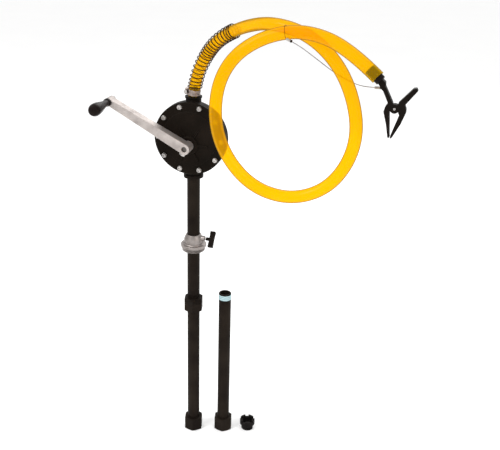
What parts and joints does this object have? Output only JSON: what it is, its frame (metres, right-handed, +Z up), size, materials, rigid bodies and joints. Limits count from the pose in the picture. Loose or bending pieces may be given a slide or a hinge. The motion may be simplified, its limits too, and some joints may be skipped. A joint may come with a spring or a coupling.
{
  "type": "rotary hand transfer pump",
  "caption": "Hand-cranked vane pump on a sectional suction tube with bung adapter, coiled delivery hose, plug and spring clip.",
  "frame": {"origin": "on the suction tube's axis, at the shoulder of the bung adapter that rests on the drum, at the top of its 2 inch thread", "axes": "+Z up along the suction tube, -Y the front with the crank and cover, +X to the right of someone facing the cover"},
  "size_m": [0.7627, 0.2985, 1.2035],
  "materials": {
    "black_plastic": "moulded, satin",
    "cover_plastic": "moulded, satin",
    "grip_plastic": "smooth, glossy",
    "tube_plastic": "extruded, satin",
    "cast_zinc": "die cast, satin",
    "cast_arm": "die cast, satin",
    "zinc_steel": "zinc plated",
    "spring_steel": "drawn wire",
    "shaft_steel": "turned",
    "bronze": "sintered",
    "seal_rubber": "matt",
    "rotor_plastic": "moulded",
    "vane_carbon": "ground",
    "hose_pvc": "clear flexible PVC, amber",
    "tape_ptfe": "thin film",
    "cable_steel": "stranded"
  },
  "bodies": {
    "adapter": {"bung_adapter": "cast_zinc", "adapter_seal": "seal_rubber"},
    "thumbscrew": {"thumbscrew": "zinc_steel", "thumb_wing": "black_plastic"},
    "rotor": {"rotor": "rotor_plastic", "rotor_shaft": "shaft_steel", "rotor_key": "shaft_steel", "vane_springs": "spring_steel", "crank_arm": "cast_arm", "crank_set_screw": "zinc_steel", "handle_spindle": "shaft_steel", "spindle_nut": "zinc_steel"},
    "vane_1": {"vane_1": "vane_carbon"},
    "vane_2": {"vane_2": "vane_carbon"},
    "vane_3": {"vane_3": "vane_carbon"},
    "vane_4": {"vane_4": "vane_carbon"},
    "grip": {"handle_grip": "grip_plastic"},
    "clip_jaw": {"clip_moving_jaw": "black_plastic"},
    "spare_tube": {"spare_tube": "tube_plastic", "spare_socket": "tube_plastic", "thread_tape": "tape_ptfe"},
    "foot_fitting": {"foot_fitting": "black_plastic"},
    "pump": {"upper_tube": "tube_plastic", "middle_socket": "tube_plastic", "lower_tube": "tube_plastic", "foot_socket": "tube_plastic", "housing_body": "black_plastic", "cover_gasket": "seal_rubber", "front_cover": "cover_plastic", "cover_bolts": "zinc_steel", "cover_washers": "zinc_steel", "front_bush": "bronze", "rear_bush": "bronze", "shaft_seal": "seal_rubber", "hose_tail": "black_plastic", "hose_clamp": "zinc_steel", "clamp_screw": "zinc_steel", "spring_guard": "spring_steel", "hose": "hose_pvc", "hose_plug": "black_plastic", "clip_fixed_jaw": "black_plastic", "clip_pin": "zinc_steel", "clip_spring": "spring_steel", "tie_loop": "cable_steel", "tether_cable": "cable_steel", "tether_ferrules": "zinc_steel", "tether_bead": "black_plastic"}
  },
  "joints": [
    {"name": "immersion_slide", "type": "slide", "parent": "adapter", "child": "pump", "axis": [0, 0, 1], "range_m": [-0.155, 0.12]},
    {"name": "thumbscrew_turn", "type": "hinge", "parent": "adapter", "child": "thumbscrew", "pos_m": [0.03, 0, 0.024], "axis": [1, 0, 0], "range_deg": [-1080, 0]},
    {"name": "crank_turn", "type": "hinge", "parent": "pump", "child": "rotor", "pos_m": [0, -0.03, 0.289], "axis": [0, -1, 0], "continuous": true},
    {"name": "vane_1_slide", "type": "slide", "parent": "rotor", "child": "vane_1", "axis": [0.7071, 0, 0.7071], "range_m": [0, 0.0018]},
    {"name": "vane_2_slide", "type": "slide", "parent": "rotor", "child": "vane_2", "axis": [-0.7071, 0, 0.7071], "range_m": [0, 0.0018]},
    {"name": "vane_3_slide", "type": "slide", "parent": "rotor", "child": "vane_3", "axis": [-0.7071, 0, -0.7071], "range_m": [0, 0.0018]},
    {"name": "vane_4_slide", "type": "slide", "parent": "rotor", "child": "vane_4", "axis": [0.7071, 0, -0.7071], "range_m": [0, 0.0018]},
    {"name": "grip_spin", "type": "hinge", "parent": "rotor", "child": "grip", "pos_m": [-0.198, -0.12, 0.392], "axis": [0, -1, 0], "continuous": true},
    {"name": "clip_squeeze", "type": "hinge", "parent": "pump", "child": "clip_jaw", "pos_m": [0.506, -0.223, 0.474], "axis": [0, -1, 0], "range_deg": [0, 28], "stiffness_Nm_per_rad": 1.2, "springref_deg": -20.05},
    {"name": "spare_tube_lift", "type": "slide", "parent": "adapter", "child": "spare_tube", "axis": [0, 0, 1], "range_m": [0, 0.3]},
    {"name": "foot_fitting_lift", "type": "slide", "parent": "adapter", "child": "foot_fitting", "axis": [0, 0, 1], "range_m": [0, 0.3]}
  ]
}
